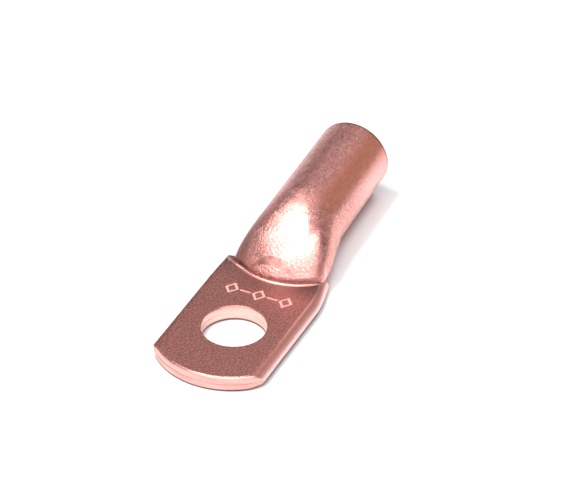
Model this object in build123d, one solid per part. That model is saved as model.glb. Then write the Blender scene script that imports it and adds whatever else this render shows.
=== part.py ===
"""Cable lug: a copper tube, one end pressed flat into a drilled palm.

Lengths in millimetres. The origin is the stud hole's centre on the palm's underside,
+X runs along the barrel to its open mouth and +Z points up from the underside.
"""
import math
import os

from build123d import *

# Tube
bore_diameter = 8.0
wall = 1.0
hole_to_mouth = 37.4
mouth_round = 0.3
mouth_chamfer = 0.4

# Palm
palm_width = 15.4
palm_thickness = 2.2
palm_edge_round = 1.5
underside_round = 0.6
hole_to_tip = 10.7
tip_radius = 10.3
tip_round = 0.35
stud_hole_diameter = 8.4
hole_edge_round = 0.15

# Step that the press leaves across the root of the palm
hole_to_step = 10.2
step_radius = 9.2
step_height = 0.4
step_round = 0.25
ledge = 0.5

# Neck between the palm and the round barrel
neck_length = 11.9
neck_inset = 0.15
neck_relief = 0.05
neck_foot_angle = 65.0
neck_belly_height = 1.8
root_length = 4.0
root_inset = 0.3
root_taper_length = 5.7
root_taper_radius = 18.0

# Seam of the two pressed walls, a hairline at the cut edges
seam_gap = 0.08
seam_depth = 0.3

# Row of plain punch marks across the palm
mark_depth = 0.1
mark_stroke = 0.36
mark_height = 2.5
mark_width = 2.0
mark_pitch = 1.9

# Sizes that follow from the ones above
tube_radius = bore_diameter / 2 + wall
half_width = palm_width / 2
ledge_top = palm_thickness + step_height
step_axis_x = hole_to_step + step_radius
foot_slope = math.tan(math.radians(neck_foot_angle))
barrel_start = hole_to_step + neck_length
root_x = hole_to_step + root_length
tip_axis_x = tip_radius - hole_to_tip
seam_z = palm_thickness / 2
mark_x = (stud_hole_diameter / 2 + hole_to_step) / 2


def upright(x, radius, bottom, top):
    """Cylinder with a vertical axis at x."""
    return extrude(Plane((x, 0, bottom)) * Circle(radius), top - bottom)


def across_tube(x):
    """Plane square to the barrel's axis at x, facing the mouth."""
    return Plane(origin=(x, 0, tube_radius), x_dir=(0, 1, 0), z_dir=(1, 0, 0))


def along_tube(radius, start, end):
    """Cylinder on the barrel's axis from start to end."""
    return extrude(across_tube(start) * Circle(radius), end - start)


def foot_reach(x, belly, foot_radius, angle):
    """Distance from a section's centre to the steep conical foot behind the step arc."""
    if x >= step_axis_x:
        return math.inf
    rise = math.sin(angle)
    run = foot_slope * math.cos(angle)
    top = ledge_top + foot_slope * foot_radius - belly
    a = run**2 - rise**2
    b = 2 * top * rise
    c = (foot_slope * (step_axis_x - x)) ** 2 - top**2
    root = b + math.sqrt(max(b * b - 4 * a * c, 0.0))
    return -2 * c / root if root > 1e-6 else math.inf


def neck_section(x, inset):
    """Closed section of the neck at x, drawn in by inset: domed above, flatter below."""
    u = min(max((x - hole_to_step) / neck_length, 0.0), 1.0)
    belly = neck_belly_height + (tube_radius - neck_belly_height) * u
    flare = (half_width - neck_inset - tube_radius) * (1 - u) ** 1.5
    rise = (2 * tube_radius - ledge_top) * math.sin(math.pi / 2 * u) ** 0.8
    side = tube_radius + flare - inset
    crown = ledge_top + rise - inset - belly
    base = belly - inset - neck_relief * (1 - u)
    foot_radius = step_radius - ledge - inset / math.sin(math.radians(neck_foot_angle))
    points = []
    count = 56
    for i in range(count):
        turn = 2 * math.pi * i / count - math.pi / 2
        upper = math.sin(turn) > 0
        reach = crown if upper else base
        power = 2.0 if upper else 4.0 - 2.0 * u
        angle = math.atan2(reach * math.sin(turn), side * math.cos(turn))
        y_share = abs(math.cos(angle) / side) ** power
        z_share = abs(math.sin(angle) / reach) ** power
        oval = (y_share + z_share) ** (-1 / power)
        foot = foot_reach(x, belly, foot_radius, angle)
        distance = (oval**-14 + foot**-14) ** (-1 / 14)
        points.append((x, distance * math.cos(angle), belly + distance * math.sin(angle)))
    even = [i / count for i in range(count + 1)]
    return Wire([Edge.make_spline(points, periodic=True, parameters=even)])


def neck(start, inset):
    """Solid of the neck from start to the round barrel, with sections closer at the foot."""
    count = 11
    run = barrel_start - start
    return Solid.make_loft([neck_section(start + run * (i / count) ** 1.5, inset) for i in range(count + 1)])


def plate(inset, thickness, top_round):
    """Flattened tube, its rounded sides drawn in towards the root."""
    edge = half_width - inset
    front = -hole_to_tip - 1
    taper_x = root_x - root_taper_length
    sweep = math.degrees(math.asin(root_taper_length / root_taper_radius))
    side = Line((front, edge), (taper_x, edge))
    side += CenterArc((taper_x, edge - root_taper_radius), root_taper_radius, 90, -sweep)
    root = side @ 1
    outline = side + mirror(side, Plane.XZ)
    outline += Line((front, edge), (front, -edge))
    outline += Line((root.X, root.Y), (root.X, -root.Y))
    solid = extrude(make_face(outline), thickness)
    solid = fillet(solid.edges().group_by(Axis.Z)[-1].sort_by(Axis.X)[1:-1], top_round)
    return fillet(solid.edges().group_by(Axis.Z)[0].sort_by(Axis.X)[1:], underside_round)


def stud_hole(plain):
    """Plain palm with the stud hole punched, its upper rim rounded, the seam in its wall."""
    radius = stud_hole_diameter / 2
    solid = plain - upright(0, radius, -palm_thickness, 2 * palm_thickness)
    rims = solid.edges().filter_by(lambda edge: edge.is_closed)
    solid = fillet(rims.sort_by(Axis.Z)[-1], hole_edge_round)
    return solid - upright(0, radius + seam_depth / 2, seam_z - seam_gap / 2, seam_z + seam_gap / 2)


def tip_seam():
    """Hairline between the two pressed walls along the sheared tip."""
    low = seam_z - seam_gap / 2
    high = seam_z + seam_gap / 2
    ring = upright(tip_axis_x, tip_radius + 1, low, high)
    ring -= upright(tip_axis_x, tip_radius - seam_depth, low, high)
    width = palm_width - palm_thickness
    reach = (Align.MAX, Align.CENTER, Align.CENTER)
    return ring & Pos(tip_axis_x, 0, seam_z) * Box(2 * hole_to_tip, width, palm_thickness, align=reach)


def punch_marks():
    """Row of three outlined diamonds with a bar between each, cut shallow into the palm."""
    tall = mark_height / 2
    wide = mark_width / 2
    diamond = Polygon((tall, 0), (0, wide), (-tall, 0), (0, -wide), align=None)
    outlined = diamond - offset(diamond, -mark_stroke, kind=Kind.INTERSECTION)
    bar = SlotOverall(mark_width - mark_stroke, mark_stroke, rotation=90)
    row = Plane((mark_x, 0, palm_thickness - mark_depth))
    marks = [row * Pos(0, place * mark_pitch) * (bar if place % 2 else outlined) for place in range(-2, 3)]
    return [extrude(mark, 2 * mark_depth) for mark in marks]


def palm():
    """Palm with its tip sheared to an arc, the top of the cut rolled over, punched and marked."""
    solid = plate(0.0, palm_thickness, palm_edge_round)
    end = (Align.MAX, Align.CENTER, Align.CENTER)
    waste = Pos(tip_axis_x, 0, 0) * Box(4 * hole_to_tip, 2 * palm_width, 4 * palm_thickness, align=end)
    solid -= waste - upright(tip_axis_x, tip_radius, -2 * palm_thickness, 2 * palm_thickness)
    cut = solid.faces().sort_by(Axis.X)[0]
    rolled = [edge for edge in cut.edges() if edge.center().Z > seam_z]
    solid = stud_hole(fillet(rolled, tip_round)) - tip_seam()
    for mark in punch_marks():
        solid -= mark
    return solid


def root_ledge():
    """Thicker root of the palm, ending in the rounded step arc."""
    solid = plate(root_inset, ledge_top, palm_edge_round + step_height)
    solid &= upright(step_axis_x, step_radius, -ledge_top, 2 * ledge_top)
    wall_face = solid.faces().filter_by(GeomType.CYLINDER).sort_by(Axis.X)[0]
    lip = [edge for edge in wall_face.edges() if edge.center().Z > palm_thickness]
    return fillet(lip, step_round)


def tube():
    """Barrel and neck, solid through, with the outer edge of the mouth rounded."""
    barrel = along_tube(tube_radius, barrel_start, hole_to_mouth)
    barrel = fillet(barrel.edges().sort_by(Axis.X)[-1], mouth_round)
    return neck(hole_to_step + ledge / 2, 0.0).fuse(barrel, tol=1e-3)


def cavity():
    """Round bore, widened at the mouth to lead the cable in, closing inside the neck."""
    radius = bore_diameter / 2
    bore = along_tube(radius, barrel_start, hole_to_mouth)
    lead_in = across_tube(hole_to_mouth - mouth_chamfer)
    bore += Solid.make_cone(radius, radius + mouth_chamfer, mouth_chamfer, lead_in)
    return neck(hole_to_step + ledge + wall, wall).fuse(bore, tol=1e-3)


def cable_lug():
    """The whole lug as one solid."""
    return palm() + root_ledge() + tube() - cavity()


os.makedirs("parts", exist_ok=True)
lug = cable_lug()
lug.label = "cable_lug"
export_step(lug, "parts/cable_lug.step")
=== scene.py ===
"""Copper cable lug: its finished surfaces and a plain studio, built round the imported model."""
import math

import bpy
import numpy as np
from bpy.props import FloatProperty, FloatVectorProperty, PointerProperty
from bpy.types import NodeSocket, Operator, Panel, PropertyGroup
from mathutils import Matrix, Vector


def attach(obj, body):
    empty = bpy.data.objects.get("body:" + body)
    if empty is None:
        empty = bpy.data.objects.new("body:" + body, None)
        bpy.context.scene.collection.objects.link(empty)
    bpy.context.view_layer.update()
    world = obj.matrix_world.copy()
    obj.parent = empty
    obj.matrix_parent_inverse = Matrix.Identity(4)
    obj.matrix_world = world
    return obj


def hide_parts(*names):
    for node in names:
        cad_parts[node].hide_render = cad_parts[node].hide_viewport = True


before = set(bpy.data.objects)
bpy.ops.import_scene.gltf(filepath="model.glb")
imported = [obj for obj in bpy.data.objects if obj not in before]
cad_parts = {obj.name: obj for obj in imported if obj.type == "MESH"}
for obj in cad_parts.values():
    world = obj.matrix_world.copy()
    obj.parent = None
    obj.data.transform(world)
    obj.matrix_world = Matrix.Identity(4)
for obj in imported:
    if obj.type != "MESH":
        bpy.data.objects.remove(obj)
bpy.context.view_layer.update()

bl_info = {
    "name": "Copper cable lug",
    "version": (1, 0, 0),
    "blender": (4, 5, 0),
    "location": "3D View > Sidebar > Lug",
    "description": "Finishes a copper cable lug and sets it in a plain studio",
    "category": "Object",
}

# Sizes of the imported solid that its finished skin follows, in metres
HALF_WIDTH = 0.0077
PALM_TOP = 0.0022
EDGE_ROUND = 0.0015
UNDER_ROUND = 0.0006
LEDGE_TOP = 0.0026
STEP_X = 0.0102
STEP_RADIUS = 0.0092
STEP_AXIS_X = STEP_X + STEP_RADIUS
FOOT_RADIUS = 0.0087
FOOT_ANGLE = math.radians(65.0)
NECK_LENGTH = 0.0119
NECK_END_X = STEP_X + NECK_LENGTH
NECK_INSET = 0.00015
BELLY_HEIGHT = 0.0018
TUBE_RADIUS = 0.005
MOUTH_X = 0.0374
TAPER_X = 0.0085
TAPER_RADIUS = 0.018
ROOT_X = 0.0142
HOLE_RADIUS = 0.0042
TIP_AXIS_X = -0.0004
TIP_RADIUS = 0.0103
SEAM_Z = PALM_TOP / 2.0
HOLE_SEAM_DEPTH = 0.00015
TIP_SEAM_DEPTH = 0.0003
MARK_X = 0.0072

# Slack in metres when a point is tested against those sizes, and when points are merged
SLACK = 2e-5
MERGE_DISTANCE = 1e-6

# Depth of the line that is left of the seam, in the hole's wall and at the tip
HOLE_LINE_DEPTH = 0.00003
TIP_LINE_DEPTH = 0.00005

# Stretches over which the root is drawn in on one side and reaches forward on the other
DRAW_X = (TAPER_X, 0.0138)
REACH_X = (0.0095, 0.0135)
REACH_Y = (0.0042, 0.0074)

# Tints that the finishes mix into the bare copper, several of them painted shade, highlights and reflections
# Pale flecks of the grain, partly painted glints
FLECK_AND_PAINTED_GLINT = (1.0, 0.66, 0.60)
# Painted reflection of the dark room, as a brown band on the round-side shoulder
PAINTED_BROWN_REFLECTION = (0.78, 0.315, 0.21)
# Painted reflection of the pale floor on the round-side flank
PAINTED_FLOOR_REFLECTION = (0.95, 0.64, 0.61)
DARK_RIM = (0.20, 0.08, 0.065)
# Painted shade on the palm's root near the step
PAINTED_ROOT_SHADE = (0.125, 0.105, 0.096)
# Painted shade for the contact lines along the floor and the groove behind the lip
PAINTED_SHADE_COLOUR = (0.16, 0.06, 0.05)
# Painted highlight along the palm's rounded edge
PAINTED_EDGE_HIGHLIGHT = (0.98, 0.62, 0.58)
PALE_HOLE = (0.95, 0.72, 0.64)

# Colours of the studio
FLOOR_COLOUR = (0.70, 0.70, 0.70)
FLOOR_GLOW = (1.0, 0.89, 0.96)
CONTACT_SHADE = (0.20, 0.13, 0.14)
WHITE_LIGHT = (1.0, 1.0, 1.0)
WARM_LIGHT = (1.0, 0.72, 0.48)


class LugShape(PropertyGroup):
    """Forms of the pressed lug that differ from the plain solid."""

    square_edge: FloatProperty(
        name="Square edge",
        description="Squareness of the palm's crisp edge, where 2 is a full round",
        default=7.0,
        min=2.0,
    )
    under_round: FloatProperty(
        name="Under round",
        description="Radius of the roll under the palm's rounded edge",
        default=0.0012,
        subtype="DISTANCE",
        unit="LENGTH",
    )
    corner_fullness: FloatProperty(
        name="Corner fullness",
        description="Share of the drawn-in root that the crisp side fills again",
        default=0.85,
        subtype="FACTOR",
        min=0.0,
        max=1.0,
    )
    square_side_fullness: FloatProperty(
        name="Square side fullness",
        description="Fullness of the neck's shoulder above the crisp edge, where 2 is an oval",
        default=2.2,
        min=2.0,
    )
    round_side_fullness: FloatProperty(
        name="Round side fullness",
        description="Fullness of the neck's shoulder above the rounded edge, where 2 is an oval",
        default=3.4,
        min=2.0,
    )
    foot_angle: FloatProperty(
        name="Foot angle",
        description="Steepness of the neck's foot behind the lip",
        default=math.radians(59.0),
        subtype="ANGLE",
        unit="ROTATION",
    )
    round_side_swell: FloatProperty(
        name="Round side swell",
        description="Share by which the neck stands fuller above the rounded edge",
        default=0.06,
        subtype="FACTOR",
    )
    round_side_draw: FloatProperty(
        name="Round side draw",
        description="Share by which the root is drawn in on the rounded side",
        default=0.035,
        subtype="FACTOR",
    )
    square_side_reach: FloatProperty(
        name="Square side reach",
        description="Distance by which the root reaches further forward on the crisp side",
        default=0.00065,
        subtype="DISTANCE",
        unit="LENGTH",
    )
    mouth_sway: FloatProperty(
        name="Mouth sway",
        description="Distance by which the mouth leans to the crisp side",
        default=0.0003,
        subtype="DISTANCE",
        unit="LENGTH",
    )
    mouth_lift: FloatProperty(
        name="Mouth lift",
        description="Distance by which the mouth lifts off the floor",
        default=0.0002,
        subtype="DISTANCE",
        unit="LENGTH",
    )
    lip_ramp: FloatProperty(
        name="Lip ramp",
        description="Length of the sloping front of the lip across the palm's root",
        default=0.00002,
        subtype="DISTANCE",
        unit="LENGTH",
    )
    lip_height: FloatProperty(
        name="Lip height",
        description="Height of the lip above the palm",
        default=0.00016,
        subtype="DISTANCE",
        unit="LENGTH",
    )
    lip_groove: FloatProperty(
        name="Lip groove",
        description="Depth of the groove between the lip and the foot of the neck",
        default=0.0001,
        subtype="DISTANCE",
        unit="LENGTH",
    )


class CopperFinish(PropertyGroup):
    """Colours and surface of the bare copper."""

    tube_colour: FloatVectorProperty(
        name="Tube colour",
        description="Annealed copper of the tube",
        default=(0.82, 0.357, 0.315),
        subtype="COLOR",
        min=0.0,
        max=1.0,
    )
    palm_colour: FloatVectorProperty(
        name="Palm colour",
        description="Pressed copper of the palm",
        default=(0.50, 0.215, 0.184),
        subtype="COLOR",
        min=0.0,
        max=1.0,
    )
    sheared_colour: FloatVectorProperty(
        name="Sheared colour",
        description="Fresh copper of the sheared tip and the punched hole",
        default=(0.90, 0.53, 0.47),
        subtype="COLOR",
        min=0.0,
        max=1.0,
    )
    grain_height: FloatProperty(
        name="Grain height",
        description="Height of the annealed grain on the tube",
        default=0.00008,
        subtype="DISTANCE",
        unit="LENGTH",
    )
    speckle_height: FloatProperty(
        name="Speckle height",
        description="Height of the fine speckle on the pressed palm",
        default=0.000008,
        subtype="DISTANCE",
        unit="LENGTH",
    )


class StudioSetup(PropertyGroup):
    """Camera and light of the studio."""

    camera_azimuth: FloatProperty(
        name="Camera azimuth",
        description="Turn of the camera round the lug",
        default=math.radians(-64.8),
        subtype="ANGLE",
        unit="ROTATION",
    )
    camera_elevation: FloatProperty(
        name="Camera elevation",
        description="Height angle of the camera above the floor",
        default=math.radians(36.0),
        subtype="ANGLE",
        unit="ROTATION",
    )
    camera_distance: FloatProperty(
        name="Camera distance",
        description="Distance from the camera to the point it looks at",
        default=0.468,
        subtype="DISTANCE",
        unit="LENGTH",
    )
    camera_target: FloatVectorProperty(
        name="Camera target",
        description="Point on the floor that the camera looks at",
        default=(0.02219, 0.00206, 0.0),
        subtype="TRANSLATION",
        unit="LENGTH",
    )
    camera_lens: FloatProperty(
        name="Camera lens",
        description="Focal length of the camera in millimetres",
        default=217.8,
        subtype="DISTANCE_CAMERA",
    )
    softbox_place: FloatVectorProperty(
        name="Softbox place",
        description="Centre of the softbox over the lug",
        default=(-0.297, -0.10, 0.385),
        subtype="TRANSLATION",
        unit="LENGTH",
    )
    softbox_power: FloatProperty(
        name="Softbox power",
        description="Power of the softbox over the lug",
        default=4.1,
        unit="POWER",
    )
    key_power: FloatProperty(
        name="Key power",
        description="Power of the small lamp that throws the shadow",
        default=1.05,
        unit="POWER",
    )
    panel_power: FloatProperty(
        name="Panel power",
        description="Power of the wide panel in front of the lug",
        default=2.0,
        unit="POWER",
    )
    room_light: FloatVectorProperty(
        name="Room light",
        description="Even light of the room round the lug",
        default=(0.32, 0.305, 0.325),
        subtype="COLOR",
        min=0.0,
        max=1.0,
    )


def smooth_share(low, high, values):
    """Share from 0 to 1 that rises smoothly between low and high."""
    t = np.clip((values - low) / (high - low), 0.0, 1.0)
    return t * t * (3.0 - 2.0 * t)


def root_taper(x):
    """Distance by which the palm's sides are drawn in at x."""
    run = np.clip(x, TAPER_X, ROOT_X) - TAPER_X
    return TAPER_RADIUS - np.sqrt(TAPER_RADIUS**2 - run**2)


def fill_root_corner(points, fullness):
    """Carry the palm's crisp side straight on to its rear corner."""
    x, y, z = points.T
    from_axis = np.hypot(x - STEP_AXIS_X, y)
    off_neck = np.maximum(
        smooth_share(FOOT_RADIUS, FOOT_RADIUS + 0.00015, from_axis),
        1.0 - smooth_share(0.0018, 0.0022, z),
    )
    at_end = x > ROOT_X - SLACK
    inner = np.where(at_end, 0.00655, 0.0040)
    outer = np.where(at_end, 0.00670, 0.0054)
    share = smooth_share(inner, outer, y) * off_neck * (x < ROOT_X + SLACK)
    points[:, 1] += root_taper(x) * fullness * share


def square_up_edge(points, squareness):
    """Turn the full round of the palm's +Y edge into a crisp one, and that of the ledge behind it."""
    x, y, z = points.T
    from_axis = np.hypot(x - STEP_AXIS_X, y)
    behind = 1.0 - smooth_share(STEP_RADIUS - 0.00008, STEP_RADIUS + 0.00003, from_axis)
    radius = EDGE_ROUND + (LEDGE_TOP - PALM_TOP) * behind
    across = (y - (HALF_WIDTH - EDGE_ROUND - 0.0007 * behind)) / radius
    up = (z - (PALM_TOP - EDGE_ROUND)) / radius
    on_neck = (from_axis < FOOT_RADIUS + 0.00005) & (z > 0.0020)
    corner = (across > 0.0) & (up > 0.0) & (x < ROOT_X + SLACK) & ~on_neck
    a = np.where(corner, across, 1.0)
    b = np.where(corner, up, 0.0)
    length = np.hypot(a, b)
    stretch = ((a / length) ** squareness + (b / length) ** squareness) ** (-1.0 / squareness)
    points[:, 1] += np.where(corner, a * (stretch - 1.0) * radius, 0.0)
    points[:, 2] += np.where(corner, b * (stretch - 1.0) * radius, 0.0)


def roll_under_edge(points, radius):
    """Roll the lower side of the palm's -Y edge under, as the fold of a flattened tube lies."""
    x, y, z = points.T
    below = np.clip(UNDER_ROUND - z, 0.0, UNDER_ROUND)
    above = np.clip(z - PALM_TOP + EDGE_ROUND, 0.0, EDGE_ROUND)
    plain_under = UNDER_ROUND - np.sqrt(UNDER_ROUND**2 - below**2)
    plain_over = EDGE_ROUND - np.sqrt(EDGE_ROUND**2 - above**2)
    plain = plain_under + plain_over
    rolled = radius - np.sqrt(radius**2 - np.clip(radius - z, 0.0, radius) ** 2)
    from_edge = y + HALF_WIDTH - root_taper(x)
    share = (1.0 - smooth_share(0.0, 0.0014, from_edge - plain)) * (1.0 - smooth_share(0.0095, 0.0130, x))
    points[:, 1] += np.maximum(rolled - plain, 0.0) * share


def shape_lip(points, ramp, height, groove):
    """Lower the step to a lip, slope its front and sink a groove behind it, fading towards the sides."""
    x, y, z = points.T
    from_axis = np.hypot(x - STEP_AXIS_X, y)
    middle = (x < STEP_AXIS_X) * (1.0 - smooth_share(0.0050, 0.0060, np.abs(y)))
    wall_foot = (np.abs(from_axis - STEP_RADIUS) < SLACK) & (np.abs(z - PALM_TOP) < 3e-5)
    scale = 1.0 + np.where(wall_foot, ramp / STEP_RADIUS, 0.0) * middle
    low = (z > 0.0020) & (z < 0.0029)
    sink = (1.0 - smooth_share(0.0, 0.00016, np.abs(from_axis - FOOT_RADIUS))) * low * middle
    above = (z - PALM_TOP) / (LEDGE_TOP - PALM_TOP)
    on_lip = (above > 0.0) & (above < 1.3) & (x < ROOT_X + SLACK) & (from_axis > FOOT_RADIUS - 0.0002)
    drop = smooth_share(0.0, 1.0, above) * (1.0 - smooth_share(1.0, 1.3, above))
    points[:, 2] -= np.where(on_lip, drop * (LEDGE_TOP - PALM_TOP - height), 0.0)
    points[:, 2] -= groove * sink
    points[:, 0] = STEP_AXIS_X + (x - STEP_AXIS_X) * scale
    points[:, 1] *= scale


def foot_reach(x, belly, slope, angle):
    """Distance from a section's centre to the conical foot behind the step, along an angle."""
    top = LEDGE_TOP + slope * FOOT_RADIUS - belly
    a = (slope * np.cos(angle)) ** 2 - np.sin(angle) ** 2
    b = 2.0 * top * np.sin(angle)
    c = (slope * (STEP_AXIS_X - x)) ** 2 - top**2
    root = b + np.sqrt(np.maximum(b * b - 4.0 * a * c, 0.0))
    reach = np.where(root > 1e-9, -2.0 * c / np.maximum(root, 1e-9), 1.0)
    return np.where((x < STEP_AXIS_X) & (reach > 0.0), reach, 1.0)


def neck_reach(x, angle, fullness, foot_angle):
    """Distance from the centre of the neck's section at x to its skin, along an angle."""
    u = np.clip((x - STEP_X) / NECK_LENGTH, 0.0, 1.0)
    belly = BELLY_HEIGHT + (TUBE_RADIUS - BELLY_HEIGHT) * u
    side = TUBE_RADIUS + (HALF_WIDTH - NECK_INSET - TUBE_RADIUS) * (1.0 - u) ** 1.5
    crown = LEDGE_TOP + (2.0 * TUBE_RADIUS - LEDGE_TOP) * np.sin(math.pi / 2.0 * u) ** 0.8 - belly
    power = 2.0 + (fullness - 2.0) * (1.0 - u * u) ** 2
    y_part = np.abs(np.cos(angle)) / side
    z_part = np.abs(np.sin(angle)) / crown
    oval = (y_part**power + z_part**power) ** (-1.0 / power)
    foot = foot_reach(x, belly, math.tan(foot_angle), angle)
    return ((oval * 1e3) ** -14.0 + (foot * 1e3) ** -14.0) ** (-1.0 / 14.0) * 1e-3


def fill_shoulders(points, square_side, round_side, foot_angle):
    """Flatten the crown of the neck, tighten its shoulders and ease its foot."""
    x, y, z = points.T
    u = np.clip((x - STEP_X) / NECK_LENGTH, 0.0, 1.0)
    up = z - (BELLY_HEIGHT + (TUBE_RADIUS - BELLY_HEIGHT) * u)
    neck = (x > STEP_X + 0.0004) & (x < NECK_END_X) & (up > 1e-6)
    angle = np.where(neck, np.arctan2(up, y), math.pi / 2.0)
    away = np.hypot(y, up)
    plain = neck_reach(x, angle, np.full(len(x), 2.0), FOOT_ANGLE)
    formed = neck_reach(x, angle, np.where(y > 0.0, square_side, round_side), foot_angle)
    skin = neck & (np.abs(away / plain - 1.0) < 0.03)
    stretch = np.where(skin, formed / plain, 1.0)
    points[:, 1] *= stretch
    points[:, 2] += up * (stretch - 1.0)


def lean_tube(points, swell, draw, reach, sway, lift):
    """Draw the root in and fill the neck on the round side, reach forward on the crisp one, lean the mouth."""
    x, y, z = points.T
    hump = smooth_share(0.0125, 0.0170, x) * (1.0 - smooth_share(0.0205, 0.0275, x))
    waist = smooth_share(*DRAW_X, x) * (1.0 - smooth_share(0.0142, 0.0165, x))
    points[:, 1] *= 1.0 + np.where(y < 0.0, swell * hump - draw * waist, 0.0)
    root = smooth_share(*REACH_X, x) * (1.0 - smooth_share(0.0145, 0.0190, x))
    points[:, 0] -= reach * smooth_share(*REACH_Y, y) * root
    along = np.clip((x - NECK_END_X) / (MOUTH_X - NECK_END_X), 0.0, 1.0)
    points[:, 1] += sway * along**2
    points[:, 2] += lift * along**2


def close_seam(points):
    """Leave only a shallow line of the seam at the tip and in the hole's wall."""
    x, y, z = points.T
    mid = np.abs(z - SEAM_Z) < 0.0002
    to_hole = np.hypot(x, y)
    in_hole = mid & (np.abs(to_hole - HOLE_RADIUS - HOLE_SEAM_DEPTH) < 0.00005)
    scale = np.where(in_hole, (HOLE_RADIUS + HOLE_LINE_DEPTH) / np.maximum(to_hole, 1e-6), 1.0)
    points[:, 0] *= scale
    points[:, 1] *= scale
    to_tip = np.hypot(x - TIP_AXIS_X, y)
    in_tip = mid & (x < -0.005) & (np.abs(to_tip - TIP_RADIUS + TIP_SEAM_DEPTH) < 0.0001)
    scale = np.where(in_tip, (TIP_RADIUS - TIP_LINE_DEPTH) / np.maximum(to_tip, 1e-6), 1.0)
    points[:, 0] = TIP_AXIS_X + (x - TIP_AXIS_X) * scale
    points[:, 1] *= scale


class LUG_OT_body(Operator):
    """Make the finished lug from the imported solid: one crisp edge, a lip and full shoulders"""

    bl_idname = "lug.body"
    bl_label = "Lug body"

    def execute(self, context):
        shape = context.scene.lug_shape
        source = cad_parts["cable_lug"]
        bpy.ops.object.select_all(action="DESELECT")
        body = bpy.data.objects.new("lug_body", source.data.copy())
        context.scene.collection.objects.link(body)
        body.select_set(True)
        context.view_layer.objects.active = body
        bpy.ops.mesh.customdata_custom_splitnormals_clear()
        bpy.ops.object.mode_set(mode="EDIT")
        bpy.ops.mesh.select_all(action="SELECT")
        bpy.ops.mesh.remove_doubles(threshold=MERGE_DISTANCE)
        bpy.ops.object.mode_set(mode="OBJECT")

        mesh = body.data
        points = np.empty(len(mesh.vertices) * 3)
        mesh.vertices.foreach_get("co", points)
        points = points.reshape(-1, 3)
        fill_shoulders(points, shape.square_side_fullness, shape.round_side_fullness, shape.foot_angle)
        fill_root_corner(points, shape.corner_fullness)
        square_up_edge(points, shape.square_edge)
        roll_under_edge(points, shape.under_round)
        shape_lip(points, shape.lip_ramp, shape.lip_height, shape.lip_groove)
        lean_tube(
            points,
            shape.round_side_swell,
            shape.round_side_draw,
            shape.square_side_reach,
            shape.mouth_sway,
            shape.mouth_lift,
        )
        close_seam(points)
        mesh.vertices.foreach_set("co", points.ravel())
        mesh.update()

        bpy.ops.object.shade_smooth_by_angle(angle=math.radians(32.0))
        weighted = body.modifiers.new("even_normals", "WEIGHTED_NORMAL")
        weighted.keep_sharp = True
        bpy.ops.object.modifier_apply(modifier=weighted.name)
        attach(body, "root")
        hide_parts("cable_lug")
        return {"FINISHED"}


class MaterialNodes:
    """The nodes of one material, with short calls for the steps that the finishes share."""

    def __init__(self, name):
        self.material = bpy.data.materials.new(name)
        self.material.use_nodes = True
        self.nodes = self.material.node_tree.nodes
        self.links = self.material.node_tree.links
        self.shader = self.nodes["Principled BSDF"]

    def put(self, value, socket):
        """Lead a socket to another, or set a number or a plain colour on it."""
        if isinstance(value, NodeSocket):
            self.links.new(value, socket)
        elif isinstance(value, (int, float)):
            socket.default_value = value
        else:
            socket.default_value = (*value, 1.0)

    def place(self):
        """Place of each point in the lug's own frame."""
        return self.nodes.new("ShaderNodeTexCoord").outputs["Object"]

    def axes(self, place):
        """The x, y and z of a place."""
        split = self.nodes.new("ShaderNodeSeparateXYZ")
        self.put(place, split.inputs["Vector"])
        return split.outputs["X"], split.outputs["Y"], split.outputs["Z"]

    def drawn_out(self, place, scale):
        """A place scaled along each axis, so that a pattern on it is drawn out."""
        mapping = self.nodes.new("ShaderNodeMapping")
        mapping.inputs["Scale"].default_value = scale
        self.put(place, mapping.inputs["Vector"])
        return mapping.outputs["Vector"]

    def noise(self, place, scale, detail, roughness):
        """Noise at a place, with scale in cycles per metre."""
        noise = self.nodes.new("ShaderNodeTexNoise")
        for name, value in (("Vector", place), ("Scale", scale), ("Detail", detail), ("Roughness", roughness)):
            self.put(value, noise.inputs[name])
        return noise.outputs["Fac"]

    def math(self, operation, first, second=0.0):
        """One step of arithmetic on sockets or numbers."""
        step = self.nodes.new("ShaderNodeMath")
        step.operation = operation
        self.put(first, step.inputs[0])
        self.put(second, step.inputs[1])
        return step.outputs["Value"]

    def product(self, first, *others):
        """All the values multiplied."""
        for other in others:
            first = self.math("MULTIPLY", first, other)
        return first

    def ramp(self, value, low, high, to_low=0.0, to_high=1.0):
        """Smooth change of a value between two limits."""
        span = self.nodes.new("ShaderNodeMapRange")
        span.interpolation_type = "SMOOTHSTEP"
        limits = (("Value", value), ("From Min", low), ("From Max", high), ("To Min", to_low), ("To Max", to_high))
        for name, limit in limits:
            self.put(limit, span.inputs[name])
        return span.outputs["Result"]

    def line(self, value, start, full_from, full_to, end):
        """A line that is full between two values and fades out on both sides."""
        return self.product(self.ramp(value, start, full_from), self.ramp(value, end, full_to))

    def mix(self, factor, first, second):
        """Mix of two colours, each a socket or a plain colour."""
        mix = self.nodes.new("ShaderNodeMix")
        mix.data_type = "RGBA"
        for number, value in ((0, factor), (6, first), (7, second)):
            self.put(value, mix.inputs[number])
        return mix.outputs[2]

    def between(self, factor, first, second):
        """A number between two others."""
        mix = self.nodes.new("ShaderNodeMix")
        for number, value in ((0, factor), (2, first), (3, second)):
            self.put(value, mix.inputs[number])
        return mix.outputs[0]

    def bump(self, height, distance, below=None):
        """Bump of a height whose full range is distance in metres."""
        bump = self.nodes.new("ShaderNodeBump")
        bump.inputs["Strength"].default_value = 1.0
        bump.inputs["Distance"].default_value = distance
        self.put(height, bump.inputs["Height"])
        if below is not None:
            self.put(below, bump.inputs["Normal"])
        return bump.outputs["Normal"]

    def finished(self, colour, roughness, normal, metallic=1.0):
        """The material, with its colour, roughness and normal led to the shader."""
        for name, value in (("Base Color", colour), ("Roughness", roughness), ("Normal", normal)):
            self.put(value, self.shader.inputs[name])
        self.shader.inputs["Metallic"].default_value = metallic
        return self.material


def shade(colour, level):
    """A colour made lighter or darker by level."""
    return tuple(min(channel * level, 1.0) for channel in colour)


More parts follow.
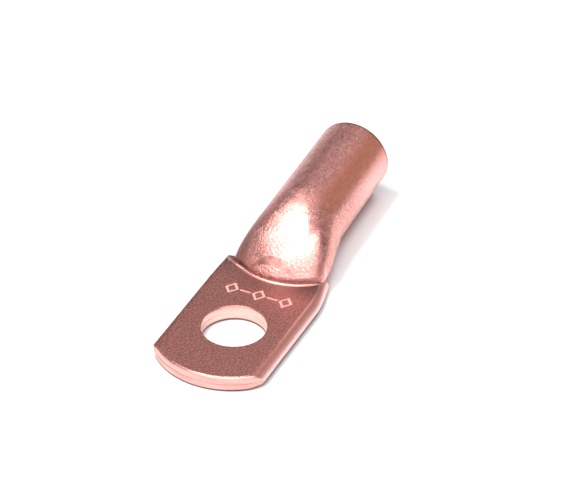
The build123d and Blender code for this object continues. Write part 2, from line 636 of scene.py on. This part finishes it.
def tube_colours(m, finish, x, y, from_axis, cloud, mottle, grain):
    """Flecked copper of the tube, its pale flecks partly painted glints: painted shade on one flank and at the
    foot, a brown band and a pale flank of painted reflection on the other.
    """
    copper = finish.tube_colour
    tube = m.mix(m.ramp(mottle, 0.35, 0.65), shade(copper, 0.82), shade(copper, 1.04))
    tube = m.mix(m.ramp(grain, 0.47, 0.34, 0.0, 0.7), tube, shade(copper, 0.5))
    # Pale flecks of the grain: partly the copper's random tone, partly painted glints
    tube = m.mix(m.ramp(grain, 0.53, 0.67, 0.0, 0.85), tube, FLECK_AND_PAINTED_GLINT)
    tube = m.mix(m.ramp(cloud, 0.35, 0.7, 0.0, 0.25), tube, finish.palm_colour)
    # Painted shade: the crisp-side flank of the neck and barrel darkened
    painted_flank_shade = m.product(m.ramp(y, 0.0034, 0.0049), m.ramp(x, 0.0240, 0.0175, 0.65, 0.85))
    tube = m.mix(painted_flank_shade, tube, shade(copper, 0.4))
    # Painted reflection: a brown band along the round-side shoulder of the barrel
    painted_brown_reflection = m.product(
        m.ramp(y, -0.0014, -0.0028, 0.0, 0.7),
        m.ramp(y, -0.0047, -0.0041),
        m.ramp(x, 0.0175, 0.0220),
    )
    tube = m.mix(painted_brown_reflection, tube, PAINTED_BROWN_REFLECTION)
    # Painted reflection: the round-side flank of the barrel lightened as the floor would mirror in it
    painted_floor_reflection = m.product(m.ramp(y, -0.0042, -0.0050), m.ramp(x, 0.0240, 0.0330, 0.0, 0.5))
    tube = m.mix(painted_floor_reflection, tube, PAINTED_FLOOR_REFLECTION)
    # Painted shade: the tube darkened at the round-side foot of the neck, dimming its highlight
    foot = m.product(
        m.ramp(from_axis, FOOT_RADIUS - 0.0018, FOOT_RADIUS - 0.0006, 0.0, 0.45),
        m.ramp(y, 0.0005, -0.0022),
        m.ramp(x, 0.0150, 0.0138),
    )
    tube = m.mix(foot, tube, shade(copper, 0.45))
    rim = m.ramp(x, MOUTH_X - 0.0007, MOUTH_X - 0.0002, 0.0, 0.8)
    return m.mix(rim, tube, DARK_RIM)


def palm_colours(m, finish, y, from_axis, speckle):
    """Speckled copper of the palm, with painted shade towards the step."""
    copper = finish.palm_colour
    pressed = m.mix(m.ramp(speckle, 0.35, 0.68), shade(copper, 0.72), shade(copper, 1.32))
    # Painted shade: the palm darkened towards the step, most on its round side
    painted_root_shade = m.product(
        m.ramp(from_axis, STEP_RADIUS, STEP_RADIUS + 0.004, 0.8, 0.0),
        m.ramp(y, 0.004, -0.002, 0.3, 1.0),
    )
    return m.mix(painted_root_shade, pressed, PAINTED_ROOT_SHADE)


def skin_material(finish, shape):
    """Satin copper skin: grainy on the tube, browner with a fine speckle on the palm."""
    m = MaterialNodes("copper_skin")
    place = m.place()
    x, y, z = m.axes(place)

    # Distances on the skin as they were before its root was drawn in and reached forward
    reached = m.product(m.ramp(y, *REACH_Y, 0.0, shape.square_side_reach), m.ramp(x, *REACH_X))
    drawn = m.product(m.ramp(x, *DRAW_X, 0.0, shape.round_side_draw), m.ramp(y, 0.0, -0.001))
    plain_y = m.product(y, m.math("ADD", drawn, 1.0))
    back = m.math("SUBTRACT", m.math("ADD", x, reached), STEP_AXIS_X)
    from_axis = m.math("SQRT", m.math("ADD", m.product(back, back), m.product(plain_y, plain_y)))
    run = m.math("MAXIMUM", m.math("SUBTRACT", x, TAPER_X), 0.0)
    taper = m.math("DIVIDE", m.product(run, run), 2.0 * TAPER_RADIUS)
    from_edge = m.math("SUBTRACT", m.math("ADD", plain_y, HALF_WIDTH), taper)

    # Palm, as a share that fades over its edges
    ahead = m.ramp(x, 0.0150, 0.0143)
    upper = m.ramp(z, 0.0012, 0.0020)
    palm = m.product(ahead, m.ramp(from_axis, FOOT_RADIUS + 0.00015, FOOT_RADIUS + 0.00025), upper)

    cloud = m.noise(place, 260.0, 2.0, 0.5)
    mottle = m.noise(place, 1100.0, 3.0, 0.6)
    grain = m.noise(place, 4300.0, 2.0, 0.6)
    speckle = m.noise(place, 3600.0, 3.0, 0.7)

    tube = tube_colours(m, finish, x, y, from_axis, cloud, mottle, grain)
    skin = m.mix(palm, tube, palm_colours(m, finish, y, from_axis, speckle))
    # Painted shade: the palm's lower edge darkened where it meets the floor
    below = m.product(m.ramp(z, 0.0006, 0.0003, 0.0, 0.85), m.ramp(x, 0.0155, 0.0140))
    skin = m.mix(below, skin, PAINTED_SHADE_COLOUR)
    # Painted shade in the groove between the lip and the foot of the neck
    groove = m.product(
        m.line(
            from_axis,
            FOOT_RADIUS - 0.00012,
            FOOT_RADIUS - 0.00002,
            FOOT_RADIUS + 0.00012,
            FOOT_RADIUS + 0.00028,
        ),
        m.ramp(z, 0.0029, 0.0026),
        upper,
        m.ramp(y, -0.0062, -0.0050),
        m.ramp(x, 0.0150, 0.0146, 0.0, 0.4),
    )
    skin = m.mix(groove, skin, PAINTED_SHADE_COLOUR)
    # Painted highlight: a pale line along the palm's rounded edge, where it turns down
    painted_crease_highlight = m.product(
        m.line(from_edge, 0.00084, 0.00096, 0.00104, 0.00116),
        m.ramp(cloud, 0.35, 0.6, 0.7, 1.0),
        m.ramp(x, -0.0040, 0.0050),
        m.ramp(x, 0.0115, 0.0075),
        palm,
    )
    skin = m.mix(painted_crease_highlight, skin, finish.sheared_colour)
    # The palm turns to the tube's colour towards its rounded edge
    tube_tone_edge = m.product(m.ramp(from_edge, 0.0013, 0.0008, 0.0, 0.65), ahead, upper)
    skin = m.mix(tube_tone_edge, skin, finish.tube_colour)
    # Painted highlight: a pale strip on the rounded edge, where it would mirror the floor
    painted_edge_highlight = m.product(m.ramp(from_edge, 0.00066, 0.0003, 0.0, 0.75), m.ramp(z, 0.0005, 0.0010), ahead)
    skin = m.mix(painted_edge_highlight, skin, PAINTED_EDGE_HIGHLIGHT)
    # Painted highlight: the lip's line lightened to a pale cream
    lip = m.line(
        from_axis,
        STEP_RADIUS - 0.00018,
        STEP_RADIUS - 0.00010,
        STEP_RADIUS + 0.00008,
        STEP_RADIUS + 0.00016,
    )
    skin = m.mix(m.product(lip, palm), skin, shade(finish.sheared_colour, 0.78))

    tube_rough = m.ramp(mottle, 0.3, 0.7, 0.27, 0.37)
    palm_rough = m.ramp(speckle, 0.3, 0.7, 0.34, 0.44)
    peel = m.product(
        m.math("ADD", grain, m.math("MULTIPLY", mottle, 0.2)),
        m.ramp(palm, 0.0, 1.0, 1.0, 0.12),
        m.ramp(y, -0.0048, 0.0040, 0.25, 1.5),
    )
    normal = m.bump(speckle, finish.speckle_height, m.bump(peel, finish.grain_height))
    return m.finished(skin, m.between(palm, tube_rough, palm_rough), normal)


def sheared_material(finish):
    """Fresh cut copper of the tip and the hole: pale, with drag lines along the cut."""
    m = MaterialNodes("sheared_copper")
    place = m.place()
    x, _, z = m.axes(place)
    drag = m.noise(m.drawn_out(place, (1.0, 1.0, 0.2)), 5000.0, 2.0, 0.6)
    layer = m.noise(m.drawn_out(place, (0.12, 0.12, 1.0)), 2400.0, 2.0, 0.5)
    copper = finish.sheared_colour
    cut = m.mix(m.ramp(layer, 0.36, 0.6), shade(copper, 0.72), shade(copper, 0.86))
    cut = m.mix(m.ramp(x, -0.0062, -0.0052, 0.0, 0.4), cut, PALE_HOLE)
    cut = m.mix(m.ramp(drag, 0.55, 0.8, 0.0, 0.5), cut, shade(copper, 0.75))
    # Painted shade: the cut face darkened along its bottom edge, where it meets the floor
    cut = m.mix(m.ramp(z, 0.00040, 0.00018, 0.0, 0.9), cut, PAINTED_SHADE_COLOUR)
    normal = m.bump(layer, 0.00002, m.bump(drag, 0.00001))
    return m.finished(cut, m.ramp(drag, 0.3, 0.7, 0.30, 0.46), normal)


def stamped_material(finish):
    """Bright floor of the punched marks: burnished copper, its brightness partly a painted highlight."""
    m = MaterialNodes("stamped_copper")
    grain = m.noise(m.place(), 3800.0, 2.0, 0.5)
    copper = finish.sheared_colour
    colour = m.mix(m.ramp(grain, 0.35, 0.65), shade(copper, 0.9), shade(copper, 1.08))
    return m.finished(colour, m.ramp(grain, 0.3, 0.7, 0.34, 0.5), m.bump(grain, 0.00008), metallic=0.6)


def bore_material(finish):
    """Duller copper inside the tube, with the streaks that drawing leaves."""
    m = MaterialNodes("bore_copper")
    place = m.place()
    streak = m.noise(m.drawn_out(place, (0.06, 1.0, 1.0)), 2600.0, 3.0, 0.6)
    cloud = m.noise(place, 500.0, 3.0, 0.55)
    colour = m.mix(m.ramp(cloud, 0.35, 0.65), shade(finish.palm_colour, 0.8), shade(finish.tube_colour, 0.92))
    colour = m.mix(m.ramp(streak, 0.5, 0.75, 0.0, 0.5), colour, shade(finish.palm_colour, 0.6))
    return m.finished(colour, m.ramp(streak, 0.3, 0.7, 0.34, 0.5), m.bump(streak, 0.000012))


class LUG_OT_copper(Operator):
    """Give each surface of the lug its bare copper finish"""

    bl_idname = "lug.copper"
    bl_label = "Copper finish"

    def execute(self, context):
        finish = context.scene.lug_finish
        mesh = bpy.data.objects["lug_body"].data
        mesh.materials.clear()
        mesh.materials.append(skin_material(finish, context.scene.lug_shape))
        for make in (sheared_material, stamped_material, bore_material):
            mesh.materials.append(make(finish))
        count = len(mesh.polygons)
        centres = np.empty(count * 3)
        mesh.polygons.foreach_get("center", centres)
        x, y, z = centres.reshape(-1, 3).T
        normals = np.empty(count * 3)
        mesh.polygons.foreach_get("normal", normals)
        facing_x, facing_y, facing_z = normals.reshape(-1, 3).T

        under_top = z < PALM_TOP - 0.0001
        to_tip = np.hypot(x - TIP_AXIS_X, y)
        tip = (x < -0.006) & (to_tip > TIP_RADIUS - 0.0004) & (facing_x < -0.3) & under_top
        hole = (np.hypot(x, y) < HOLE_RADIUS + 0.0002) & under_top & (z > 1e-6)
        mark_floor = (z < PALM_TOP - 0.00008) & (z > PALM_TOP - 0.00013)
        marks = (np.abs(x - MARK_X) < 0.0016) & mark_floor & (np.abs(y) < 0.0055)
        up = z - TUBE_RADIUS
        inward = (facing_y * y + facing_z * up < 0.0) & (np.hypot(y, up) < TUBE_RADIUS - 0.0004)
        bore = (x > 0.0115) & inward & (np.abs(facing_x) < 0.999)
        slots = np.zeros(count, dtype=np.int32)
        for slot, chosen in ((1, tip | hole), (2, marks), (3, bore)):
            slots[chosen] = slot
        mesh.polygons.foreach_set("material_index", slots)
        mesh.update()
        return {"FINISHED"}


def add_floor(context):
    """Wide pale floor with a painted contact shadow where the lug touches it."""
    bpy.ops.mesh.primitive_plane_add(size=6.0, location=(0.0, 0.0, 0.0))
    floor = context.active_object
    floor.name = "floor"
    m = MaterialNodes("white_floor")
    m.shader.inputs["Roughness"].default_value = 0.9
    m.shader.inputs["Specular IOR Level"].default_value = 0.0
    m.shader.inputs["Emission Color"].default_value = (*FLOOR_GLOW, 1.0)
    # Painted contact shadow: the floor's colour and glow drop with ambient occlusion near the lug
    contact = m.nodes.new("ShaderNodeAmbientOcclusion")
    contact.inputs["Distance"].default_value = 0.003
    openness = contact.outputs["AO"]
    m.put(m.ramp(openness, 0.2, 0.8, 0.0, 0.10), m.shader.inputs["Emission Strength"])
    m.put(m.mix(m.ramp(openness, 0.1, 0.6), CONTACT_SHADE, FLOOR_COLOUR), m.shader.inputs["Base Color"])
    floor.data.materials.append(m.material)


def add_lamp(context, name, place, size, power, colour=WHITE_LIGHT):
    """Rectangular lamp at a place, turned to the lug."""
    bpy.ops.object.light_add(type="AREA", location=place)
    lamp = context.active_object
    lamp.name = name
    lamp.data.shape = "RECTANGLE"
    lamp.data.size, lamp.data.size_y = size
    lamp.data.energy = power
    lamp.data.color = colour
    lamp.rotation_euler = (Vector((0.02, 0.0, 0.0)) - lamp.location).to_track_quat("-Z", "Y").to_euler()


def add_room_light(context, colour):
    """Even light from all round."""
    world = bpy.data.worlds.new("studio_world")
    context.scene.world = world
    world.use_nodes = True
    background = world.node_tree.nodes["Background"]
    background.inputs["Color"].default_value = (*colour, 1.0)
    background.inputs["Strength"].default_value = 1.0


def add_camera(context, setup):
    """Camera on its angle round the lug, looking at the target."""
    level = math.cos(setup.camera_elevation)
    away = Vector(
        (
            math.sin(setup.camera_azimuth) * level,
            -math.cos(setup.camera_azimuth) * level,
            math.sin(setup.camera_elevation),
        )
    )
    data = bpy.data.cameras.new("camera")
    data.lens = setup.camera_lens
    data.sensor_width = 36.0
    data.clip_start = 0.01
    camera = bpy.data.objects.new("camera", data)
    context.scene.collection.objects.link(camera)
    camera.location = Vector(setup.camera_target) + away * setup.camera_distance
    camera.rotation_euler = (-away).to_track_quat("-Z", "Y").to_euler()
    context.scene.camera = camera


class LUG_OT_studio(Operator):
    """Set the floor, the soft light and the camera"""

    bl_idname = "lug.studio"
    bl_label = "Studio"

    def execute(self, context):
        setup = context.scene.lug_studio
        context.scene.view_settings.view_transform = "Standard"
        bpy.ops.object.select_all(action="DESELECT")
        add_floor(context)
        add_lamp(context, "overhead_softbox", setup.softbox_place, (0.80, 0.45), setup.softbox_power)
        add_lamp(context, "key_lamp", (-0.03, 0.10, 0.40), (0.06, 0.06), setup.key_power)
        add_lamp(context, "front_panel", (-0.70, -0.20, 0.45), (1.50, 0.70), setup.panel_power)
        add_lamp(context, "top_panel", (0.12, -0.02, 0.60), (0.50, 0.50), 0.3)
        add_lamp(context, "back_panel", (0.50, 0.02, 0.62), (0.60, 0.50), 0.36)
        add_lamp(context, "side_panel", (0.45, -0.30, 0.24), (0.50, 0.40), 0.14, WARM_LIGHT)
        add_room_light(context, setup.room_light)
        add_camera(context, setup)
        return {"FINISHED"}


class LUG_PT_sidebar(Panel):
    """Steps and settings of the copper cable lug"""

    bl_idname = "LUG_PT_sidebar"
    bl_label = "Copper cable lug"
    bl_space_type = "VIEW_3D"
    bl_region_type = "UI"
    bl_category = "Lug"

    def draw(self, context):
        scene = context.scene
        for operator, settings in (
            (LUG_OT_body, scene.lug_shape),
            (LUG_OT_copper, scene.lug_finish),
            (LUG_OT_studio, scene.lug_studio),
        ):
            self.layout.operator(operator.bl_idname)
            for name in type(settings).__annotations__:
                self.layout.prop(settings, name)


classes = (LugShape, CopperFinish, StudioSetup, LUG_OT_body, LUG_OT_copper, LUG_OT_studio, LUG_PT_sidebar)


def register():
    """Add the classes and their settings."""
    for cls in classes:
        bpy.utils.register_class(cls)
    bpy.types.Scene.lug_shape = PointerProperty(type=LugShape)
    bpy.types.Scene.lug_finish = PointerProperty(type=CopperFinish)
    bpy.types.Scene.lug_studio = PointerProperty(type=StudioSetup)


def unregister():
    """Remove the settings and the classes."""
    del bpy.types.Scene.lug_studio
    del bpy.types.Scene.lug_finish
    del bpy.types.Scene.lug_shape
    for cls in reversed(classes):
        bpy.utils.unregister_class(cls)


def main():
    """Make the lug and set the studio."""
    register()
    bpy.ops.lug.body()
    bpy.ops.lug.copper()
    bpy.ops.lug.studio()


if __name__ == "__main__":
    main()
